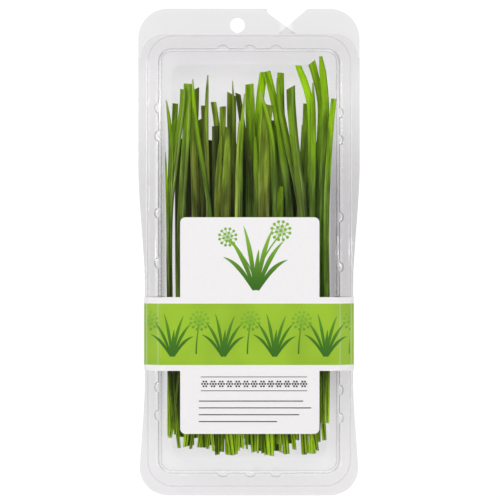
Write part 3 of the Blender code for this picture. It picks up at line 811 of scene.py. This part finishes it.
def make_label(material):
    """The band with both arms, and the card that crosses it, as one sheet."""
    half_line = bent_line(label_line(), LABEL_BEND)
    line = [(-x, z) for x, z in reversed(half_line[1:])] + half_line
    card_edges = (CARD_X - CARD_HALF_WIDTH, CARD_X + CARD_HALF_WIDTH)
    places = sorted(set(line) | {(edge, half_line[0][1]) for edge in card_edges}, key=line_order(line))
    work = bmesh.new()
    low = [work.verts.new((x, BAND_LOW_Y, z)) for x, z in places]
    high = [work.verts.new((x, BAND_TOP_Y, z)) for x, z in places]
    for i in range(len(places) - 1):
        work.faces.new((low[i], low[i + 1], high[i + 1], high[i]))
    corners = []
    flat_z = half_line[0][1]
    inside = [i for i, (x, z) in enumerate(places) if card_edges[0] <= x <= card_edges[1] and z == flat_z]
    for edge, y in ((low, CARD_LOW_Y), (high, CARD_TOP_Y)):
        far = [work.verts.new((places[i][0], y, flat_z)) for i in inside]
        for (a, b), (p, q) in zip(zip(inside, inside[1:]), zip(far, far[1:])):
            face = [edge[a], edge[b], q, p]
            work.faces.new(face if y > BAND_TOP_Y else face[::-1])
        corners += [far[0], far[-1]]
    bmesh.ops.bevel(work, geom=corners, offset=CARD_CORNER, segments=CARD_CORNER_STEPS, profile=0.5,
                    affect="VERTICES")
    bmesh.ops.recalc_face_normals(work, faces=work.faces)
    if sum(face.normal.z * face.calc_area() for face in work.faces) < 0:
        bmesh.ops.reverse_faces(work, faces=work.faces)
    for face in work.faces:
        face.smooth = True
    label = object_from("label_sheet", work, material)
    wall = label.modifiers.new("paper", "SOLIDIFY")
    wall.thickness = PAPER * MM
    wall.offset = 1.0
    label = plain_mesh(label)
    label.data.set_sharp_from_angle(angle=math.radians(SHARP_DEGREES))
    stands_for(label, "label_paper", "label")
    return [(x, z + PAPER + PRINT_LIFT) for x, z in half_line]


def line_order(line):
    """A sorting key that keeps the line's own order and places points between its neighbours."""
    order = {point: number for number, point in enumerate(line)}
    middle = line.index(min(line, key=lambda point: abs(point[0])))

    def key(point):
        return order.get(point, middle + (0.5 if point[0] > 0 else -0.5))
    return key


def blade_outline(foot, angle, length, width, bend, steps=16):
    """The outline of a slender printed blade that leaves its foot at this angle from upright and bends."""
    left, right = [], []
    x, y = foot
    for step in range(steps + 1):
        t = step / steps
        way = angle + bend * t * t
        swell = 0.5 + 0.5 * math.sin(math.pi * min(0.5, 0.9 * t))
        half = width / 2 * swell * min(1.0, 2.6 * (1.0 - t)) ** 0.7
        left.append((x - half * math.cos(way), y + half * math.sin(way)))
        right.append((x + half * math.cos(way), y - half * math.sin(way)))
        x += length / steps * math.sin(way)
        y += length / steps * math.cos(way)
    return left + right[::-1][1:]


def line_outline(points, width):
    """A thin printed line through these points, as an outline."""
    left, right = [], []
    for i, (x, y) in enumerate(points):
        before, after = points[max(0, i - 1)], points[min(len(points) - 1, i + 1)]
        way = Vector((after[0] - before[0], after[1] - before[1])).normalized() * (width / 2)
        left.append((x - way.y, y + way.x))
        right.append((x + way.y, y - way.x))
    return left + right[::-1]


def disc_outline(x, y, radius, steps=14):
    return [(x + radius * math.cos(math.tau * i / steps), y + radius * math.sin(math.tau * i / steps))
            for i in range(steps)]


def print_mesh(name, outlines, material):
    """Flat printed shapes as one mesh near height 0, each a hair above the one before."""
    work = bmesh.new()
    for number, outline in enumerate(outlines):
        face = work.faces.new([work.verts.new((x, y, PRINT_STEP * number)) for x, y in outline])
        if face.normal.z < 0 or face.calc_area() == 0:
            face.normal_flip()
    bmesh.ops.triangulate(work, faces=work.faces)
    bmesh.ops.recalc_face_normals(work, faces=work.faces)
    for face in work.faces:
        if face.normal.z < 0:
            face.normal_flip()
    return object_from(name, work, material)


def lay_on_label(made, line):
    """Bends a flat print over the label's bends."""
    work = bmesh.new()
    work.from_mesh(made.data)
    folds = [x for x, z in line[1:] if z > RIM_TOP_Z]
    for x in folds:
        for sign in (-1, 1):
            parts = work.verts[:] + work.edges[:] + work.faces[:]
            bmesh.ops.bisect_plane(work, geom=parts, plane_co=(sign * x * MM, 0, 0), plane_no=(sign, 0, 0),
                                   clear_outer=x == folds[-1])
    for vert in work.verts:
        vert.co.z += height_on_label(vert.co.x / MM, line) * MM
    work.to_mesh(made.data)
    work.free()


def tuft_outlines(foot, reach):
    """A tuft of slender blades."""
    outlines = []
    for degrees, share, bend, aside in TUFT_BLADES:
        start = (foot[0] + aside * reach * BLADE_SPREAD, foot[1])
        outlines.append(blade_outline(start, math.radians(degrees), share * reach, reach * BLADE_WIDTH, bend))
    return outlines


def flower_outlines(foot, aside, above, height, lean, radius):
    """A bare stalk with a round head of small florets, beside and above this foot."""
    x, y = foot[0] + aside, foot[1] + above
    stalk = [(x + lean * (i / FLOWER_STEPS) ** 2, y + height * i / FLOWER_STEPS)
             for i in range(FLOWER_STEPS + 1)]
    x, y = stalk[-1]
    outlines = [line_outline(stalk, radius * FLOWER_STALK)]
    for share, number in FLOWER_RINGS:
        for i in range(number):
            angle = math.tau * (i + 0.5 * share) / number
            end = (x + radius * share * math.sin(angle), y + radius * (FLOWER_RISE + share * math.cos(angle)))
            outlines.append(line_outline([(x, y + radius * FLOWER_RISE), end], radius * FLOWER_RAY))
            outlines.append(disc_outline(*end, radius * FLOWER_DOT))
    return outlines


def group_tree(name, **kinds):
    """A Geometry Nodes group that takes a geometry and these inputs, with its own two end nodes."""
    tree = bpy.data.node_groups.new(name, "GeometryNodeTree")
    tree.interface.new_socket("Geometry", in_out="INPUT", socket_type="NodeSocketGeometry")
    for label, kind in kinds.items():
        tree.interface.new_socket(label, in_out="INPUT", socket_type="NodeSocket" + kind)
    tree.interface.new_socket("Geometry", in_out="OUTPUT", socket_type="NodeSocketGeometry")
    return tree, new_node(tree, "NodeGroupInput").outputs, new_node(tree, "NodeGroupOutput").inputs


def finish_group(tree, shape, material, result):
    """Ends a group: its copies become real and take their material."""
    real = new_node(tree, "GeometryNodeRealizeInstances", Geometry=shape).outputs[0]
    painted = new_node(tree, "GeometryNodeSetMaterial", Geometry=real, Material=material)
    link(tree, painted.outputs[0], result[0])


def row_tree(name):
    """Copies of a print at a pitch along X, centred."""
    tree, given, result = group_tree(name, Count="Int", Pitch="Float", Material="Material")
    back = times(tree, math_node(tree, "SUBTRACT", given["Count"], 1.0), -0.5)
    start = xyz(tree, times(tree, back, given["Pitch"]))
    points = new_node(tree, "GeometryNodeMeshLine", Count=given["Count"], Start_Location=start,
                      Offset=xyz(tree, given["Pitch"]))
    copies = new_node(tree, "GeometryNodeInstanceOnPoints", Points=points.outputs[0],
                      Instance=given["Geometry"])
    finish_group(tree, copies.outputs[0], given["Material"], result)
    return tree


def run_group(made, group, **values):
    """The plain mesh that a group makes of the object, with its inputs set by their identifiers."""
    modifier = made.modifiers.new("group", "NODES")
    modifier.node_group = group
    for item in group.interface.items_tree:
        if item.item_type == "SOCKET" and item.in_out == "INPUT" and item.name in values:
            modifier[item.identifier] = values[item.name]
    return plain_mesh(made)


def lay_print(made, line):
    lay_on_label(made, line)
    stands_for(made, "label_paper")


def band_row(name, outlines, count, material, line):
    made = print_mesh(name, outlines, material)
    lay_print(run_group(made, ROW_TREE, Count=count, Pitch=PRINT_PITCH * MM, Material=material), line)


def make_prints(line):
    """A plain chive pattern: tufts and flower heads along the band, one group and some rules on the card."""
    band = (LIME_LOW_Y + 4.0, LIME_TOP_Y - 2.0)
    dark = ink_material("ink_dark", INK_DARK, INK_MID, *band)
    soft = ink_material("ink_soft", INK_DARK, INK_LIGHT, *band)
    shaded = ink_material("ink_shaded", INK_DARK, INK_LIGHT, *GROUP_SHADE)
    grey = ink_material("ink_grey", INK_GREY, INK_GREY, *GROUP_SHADE)
    band_row("band_tufts", tuft_outlines((0.0, LIME_LOW_Y + 4.2), TUFT_REACH), TUFTS, dark, line)
    band_row("band_flowers", flower_outlines((0.0, LIME_LOW_Y), *ROW_FLOWER), FLOWERS, soft, line)

    group = tuft_outlines(GROUP_FOOT, GROUP_REACH)
    for flower in GROUP_FLOWERS:
        group += flower_outlines(GROUP_FOOT, *flower)
    lay_print(print_mesh("card_group", group, shaded), line)

    marks = [[(low, y), (high, y), (high, y + thick), (low, y + thick)] for y, low, high, thick in CARD_RULES]
    for i in range(FLORETS):
        x = FLORET_X + i * FLORET_PITCH
        marks.append(disc_outline(x, FLORET_Y, FLORET_DOTS[0]))
        for k in range(6):
            turn = k * math.tau / 6
            marks.append(disc_outline(x + FLORET * math.cos(turn), FLORET_Y + FLORET * math.sin(turn),
                                      FLORET_DOTS[1]))
    lay_print(print_mesh("card_marks", marks, grey), line)


# The leaves

def across_at(corners, edges, y):
    """The middles of the leaf's left and right edges where it is cut across at this y."""
    first, second = corners[edges[:, 0]], corners[edges[:, 1]]
    crosses = (first[:, 1] != second[:, 1]) & ((first[:, 1] - y) * (second[:, 1] - y) <= 0)
    first, second = first[crosses], second[crosses]
    cut = first + (second - first) * ((y - first[:, 1]) / (second[:, 1] - first[:, 1]))[:, None]
    left = cut[cut[:, 0] < cut[:, 0].min() + EDGE_CATCH]
    right = cut[cut[:, 0] > cut[:, 0].max() - EDGE_CATCH]
    return (left.min(0) + left.max(0)) / 2, (right.min(0) + right.max(0)) / 2


def leaf_stations(node):
    """Rows of (x, y, z, half width, roll) up a leaf's solid, in millimetres, and how its two ends slant."""
    corners = np.array([vert.co for vert in node.data.vertices]) / MM
    edges = np.array([edge.vertices[:] for edge in node.data.edges])
    middle_y = (corners[:, 1].min() + corners[:, 1].max()) / 2
    end_faces = [face for face in node.data.polygons if abs(face.normal.y) > 0.5]
    on_end = sorted({number for face in end_faces for number in face.vertices})
    end_corners = np.unique(np.round(corners[on_end], 4), axis=0)
    base, tip = end_corners[end_corners[:, 1] < middle_y], end_corners[end_corners[:, 1] > middle_y]
    levels = np.unique(np.round(np.delete(corners, on_end, axis=0)[:, 1], 2))
    levels = levels[(levels > base[:, 1].max() + 0.1) & (levels < tip[:, 1].min() - 0.1)]
    pairs = [(base[:2].mean(0), base[-2:].mean(0))]
    pairs += [across_at(corners, edges, y) for y in levels]
    pairs.append((tip[:2].mean(0), tip[-2:].mean(0)))
    rows, slants = [], []
    for left, right in pairs:
        span = right - left
        half = math.hypot(span[0], span[2]) / 2
        rows.append((*((left + right) / 2), half, math.atan2(span[2], span[0])))
        slants.append(span[1] / (2 * half))
    return np.array(rows), slants[0], slants[-1]


def smooth_rows(rows, step):
    """The rows at even steps along y, on smooth curves through the given ones."""
    ys = rows[:, 1]
    count = int(round((ys[-1] - ys[0]) / step)) + 1
    fine = np.linspace(ys[0], ys[-1], count)
    slopes = np.gradient(rows, ys, axis=0)
    slot = np.clip(np.searchsorted(ys, fine) - 1, 0, len(ys) - 2)
    span = (ys[slot + 1] - ys[slot])[:, None]
    t = ((fine - ys[slot]) / span[:, 0])[:, None]
    low, high = rows[slot], rows[slot + 1]
    made = low + (high - low) * t * t * (3 - 2 * t)
    made += span * (t * (1 - t) ** 2 * slopes[slot] - t * t * (1 - t) * slopes[slot + 1])
    made[:, 1] = fine
    made[:, 3] = np.clip(made[:, 3], NARROWEST, rows[:, 3].max())
    return made


def keep_attribute(tree, name, value, geometry):
    """The geometry with a value kept on each of its points under this name."""
    made = new_node(tree, "GeometryNodeStoreNamedAttribute", Name=name, Value=value, Geometry=geometry)
    return made.outputs[0]


def blade_tree(name):
    """Sweeps a leaf's section along its spine: a thin blade with a gutter above and a keel below."""
    tree, given, result = group_tree(
        name, Sides="Int", Thickness="Float", Gutter="Float", Keel="Float", Material="Material")
    circle = new_node(tree, "GeometryNodeCurvePrimitiveCircle", Resolution=given["Sides"], Radius=1.0)
    place = new_node(tree, "GeometryNodeInputPosition").outputs[0]
    across, around = new_node(tree, "ShaderNodeSeparateXYZ", Vector=place).outputs[:2]
    round_edge = math_node(tree, "POWER", size_of(tree, around), ROUND_EDGE)
    thick = times(tree, times(tree, given["Thickness"], 0.5), round_edge)
    middle = math_node(tree, "SUBTRACT", 1.0, size_of(tree, across))
    above = math_node(tree, "GREATER_THAN", around, 0.0)
    below = math_node(tree, "SUBTRACT", 1.0, above)
    sag = math_node(tree, "ADD", times(tree, above, given["Gutter"]), times(tree, below, given["Keel"]))
    side = times(tree, math_node(tree, "SIGN", around), thick)
    height = math_node(tree, "SUBTRACT", side, times(tree, sag, middle))
    outline = keep_attribute(tree, "across", across, circle.outputs[0])
    section = new_node(tree, "GeometryNodeSetPosition", Geometry=outline, Position=xyz(tree, across, height))

    along = new_node(tree, "GeometryNodeSplineParameter").outputs["Factor"]
    spine = keep_attribute(tree, "along", along, given["Geometry"])
    upright = new_node(tree, "GeometryNodeSetCurveNormal", Curve=spine)
    upright.mode = "Z_UP"
    sweep = new_node(tree, "GeometryNodeCurveToMesh", Curve=upright.outputs[0],
                     Profile_Curve=section.outputs[0], Fill_Caps=True)
    if "Scale" in sweep.inputs:
        link(tree, new_node(tree, "GeometryNodeInputRadius").outputs[0], sweep.inputs["Scale"])
    finish_group(tree, sweep.outputs[0], given["Material"], result)
    return tree


def leaf_spine(name, rows):
    curve = bpy.data.curves.new(name, "CURVE")
    curve.dimensions = "3D"
    spline = curve.splines.new("POLY")
    spline.points.add(len(rows) - 1)
    for point, (x, y, z, half, roll) in zip(spline.points, rows):
        point.co = (x * MM, y * MM, z * MM, 1.0)
        point.radius = half * MM
        point.tilt = roll
    return new_object(name, curve)


def slant_ends(mesh, rows, base_slant, tip_slant):
    """Shears the two cut ends, fading out along the first and last millimetres."""
    base_y, tip_y = rows[0, 1], rows[-1, 1]
    for vert in mesh.vertices:
        y = vert.co.y / MM
        for end_y, slant, row in ((base_y, base_slant, rows[0]), (tip_y, tip_slant, rows[-1])):
            share = max(0.0, 1.0 - abs(y - end_y) / SLANT_REACH)
            vert.co.y += slant * (vert.co.x - row[0] * MM) * share


def make_leaf(name, node, material, tone, ridge_highlight, narrow_base):
    rows, base_slant, tip_slant = leaf_stations(node)
    rows = smooth_rows(rows, LEAF_STEP)
    half = rows[:, 3].max()
    if narrow_base:
        rows[:, 3] *= 1.0 - STALK_NARROWS * np.exp(-(rows[:, 1] - rows[0, 1]) / STALK_REACH)
    leaf = run_group(leaf_spine(name, rows), BLADE_TREE, Sides=LEAF_SIDES, Thickness=LEAF_THICKNESS / half,
                     Gutter=LEAF_GUTTER / half, Keel=LEAF_KEEL / half, Material=material)
    slant_ends(leaf.data, rows, base_slant, tip_slant)
    dry = float(half < DRY_WIDTH and rows[-1, 3] < POINTED * half)
    for label, value in (("tone", tone), ("ridge_highlight", ridge_highlight), ("dry", dry)):
        kept = leaf.data.attributes.new(label, "FLOAT", "POINT")
        kept.data.foreach_set("value", [value] * len(leaf.data.vertices))
    leaf.data.shade_smooth()
    leaf.data.set_sharp_from_angle(angle=math.radians(BLADE_SHARP_DEGREES))
    return leaf


def leaf_slot(name):
    return ("leaf_green", "leaf_bright", "leaf_olive")[int(name.split("_")[1]) % 3]


# Each finish: the two greens of its streaks, its shine, a painted highlight green, and the shares of its
# light tip
# and pale base. The bright and dark finishes, with mid between them, are lit and shaded copies of one green:
# painted light and painted shade for where a leaf lies in the pile. Olive and lime are greens of their own.
LEAF_FINISHES = {
    LIT_BRIGHT: ("leaf_lit_bright_skin", (0.05, 0.095, 0.007), (0.12, 0.24, 0.018), (0.25, 0.42, 0.065), 1.0, 1.0),
    MID: ("leaf_mid_skin", (0.045, 0.074, 0.008), (0.14, 0.225, 0.021), (0.27, 0.4, 0.075), 0.6, 1.0),
    OLIVE: ("leaf_olive_skin", (0.06, 0.075, 0.009), (0.2, 0.25, 0.03), (0.33, 0.39, 0.075), 0.3, 1.0),
    SHADED_DARK: ("leaf_shaded_dark_skin", (0.016, 0.017, 0.005), (0.06, 0.07, 0.01), (0.12, 0.15, 0.025), 0.1, 0.4),
    LIME: ("leaf_lime_skin", (0.36, 0.5, 0.04), (0.6, 0.76, 0.11), (0.6, 0.74, 0.17), 0.2, 1.0),
}
# The lower leaves mostly take the darker finishes, painted shade inside the pile.
FINISH_OF_LOWER = (MID, SHADED_DARK, OLIVE, SHADED_DARK)

# The leaves of the top layer, in the order of their names
FINISH_OF_FRONT = (
    MID, OLIVE, SHADED_DARK, OLIVE, SHADED_DARK, OLIVE, OLIVE, LIT_BRIGHT, LIT_BRIGHT, LIT_BRIGHT, MID, LIT_BRIGHT,
    OLIVE, MID, SHADED_DARK, LIT_BRIGHT, LIT_BRIGHT, MID, OLIVE, MID, MID, MID, MID, LIT_BRIGHT,
    OLIVE, OLIVE, MID, OLIVE, MID, LIT_BRIGHT, MID, LIME, LIT_BRIGHT, LIT_BRIGHT, MID, LIT_BRIGHT,
)
# How strongly a painted highlight runs along the ridge of some top leaves
RIDGE_HIGHLIGHT_OF_FRONT = {21: 1.0, 17: 0.35, 20: 0.25, 32: 0.4}


def make_leaves():
    draw = random.Random(SEED)
    finishes = {finish: leaf_material(*settings) for finish, settings in LEAF_FINISHES.items()}
    names = sorted(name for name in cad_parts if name.startswith("leaf_"))
    hidden = len(names) - len(FINISH_OF_FRONT)
    for number, name in enumerate(names):
        front = number - hidden
        finish = FINISH_OF_FRONT[front] if front >= 0 else draw.choice(FINISH_OF_LOWER)
        leaf = make_leaf(f"blade_{name[5:]}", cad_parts[name], finishes[finish], draw.random(),
                         RIDGE_HIGHLIGHT_OF_FRONT.get(front, 0.0), front >= 0)
        stands_for(leaf, leaf_slot(name), name)


# The set: floor, lamps, camera

FLOOR_HALF = 2500.0
FLOOR_DROP = 0.3
FLOOR_GLOW = 0.8
WORLD_LIGHT = 0.15
SEEN = 250.0
SEEN_LEVEL = 20.0
SEEN_MIDDLE = (0.5, 1.0)
CAMERA_DISTANCE = 1200.0

# Each lamp: its place, the height that it looks at over the middle, its size in metres, and watts
LAMPS = (
    ("lamp_left", (-0.8, 0.1, 0.7), 0.01, (0.3, 1.2), 5.2),
    ("lamp_right", (0.8, 0.0, 0.75), 0.01, (0.3, 1.2), 4.4),
    ("lamp_head", (0.0, 0.85, 0.8), 0.01, (1.0, 0.3), 5.0),
    ("strip_right", (0.5, 0.0, 0.75), 0.02, (0.02, 0.9), 0.8),
    ("strip_left", (-0.5, 0.1, 0.75), 0.02, (0.02, 0.9), 0.8),
    ("lamp_foot", (0.0, -0.9, 0.7), 0.01, (1.0, 0.3), 4.0),
)


def make_floor():
    work = bmesh.new()
    bmesh.ops.create_grid(work, x_segments=1, y_segments=1, size=FLOOR_HALF)
    material, tree, output = node_material("floor_white")
    skin = principled(tree, Base_Color=(0.3, 0.3, 0.3), Roughness=0.9, Specular_IOR_Level=0.0,
                      Emission_Color=(1.0, 1.0, 1.0), Emission_Strength=FLOOR_GLOW)
    link(tree, skin.outputs[0], output.inputs[0])
    floor = object_from("floor", work, material)
    floor.location.z = -FLOOR_DROP * MM


def area_lamp(name, place, target_z, size, power):
    lamp = bpy.data.lights.new(name, "AREA")
    lamp.shape = "RECTANGLE"
    lamp.size, lamp.size_y = size
    lamp.energy = power
    made = new_object(name, lamp)
    made.location = place
    made.rotation_euler = (Vector((0, 0, target_z)) - Vector(place)).to_track_quat("-Z", "Y").to_euler()


def make_lights():
    world = bpy.data.worlds.new("studio")
    bpy.context.scene.world = world
    world.use_nodes = True
    background = world.node_tree.nodes["Background"]
    background.inputs["Color"].default_value = (1.0, 1.0, 1.0, 1.0)
    background.inputs["Strength"].default_value = WORLD_LIGHT
    for lamp in LAMPS:
        area_lamp(*lamp)


def make_camera():
    """Straight above, so that the picture is SEEN millimetres wide at SEEN_LEVEL."""
    camera = bpy.data.cameras.new("camera")
    camera.sensor_width = 36.0
    camera.lens = camera.sensor_width * CAMERA_DISTANCE / SEEN
    camera.clip_end = 10.0
    made = new_object("camera", camera)
    made.location = (SEEN_MIDDLE[0] * MM, SEEN_MIDDLE[1] * MM, (SEEN_LEVEL + CAMERA_DISTANCE) * MM)
    bpy.context.scene.camera = made


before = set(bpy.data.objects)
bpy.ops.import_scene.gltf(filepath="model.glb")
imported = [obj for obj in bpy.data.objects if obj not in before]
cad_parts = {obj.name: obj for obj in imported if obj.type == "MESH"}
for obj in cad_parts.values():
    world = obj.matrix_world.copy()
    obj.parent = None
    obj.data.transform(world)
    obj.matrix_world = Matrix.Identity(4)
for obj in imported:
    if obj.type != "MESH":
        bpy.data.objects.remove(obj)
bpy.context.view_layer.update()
bpy.context.scene.view_settings.view_transform = "Standard"
ROW_TREE = row_tree("row_of_prints")
BLADE_TREE = blade_tree("leaf_blade")
make_leaves()
make_tray(clear_sheet_material("clear_tray_sheet", TRAY_TINTS, side_x=40.2, left_less_shaded=(0.4, 0.85),
                               raised_z=15.0, bend_z=30.0))
make_lid(clear_sheet_material("clear_lid_sheet", LID_TINTS, side_x=45.0, left_less_shaded=(0.2, 0.2),
                              raised_z=22.2, bend_z=RIM_TOP_Z + 0.2))
make_prints(make_label(label_material()))
make_floor()
make_lights()
make_camera()
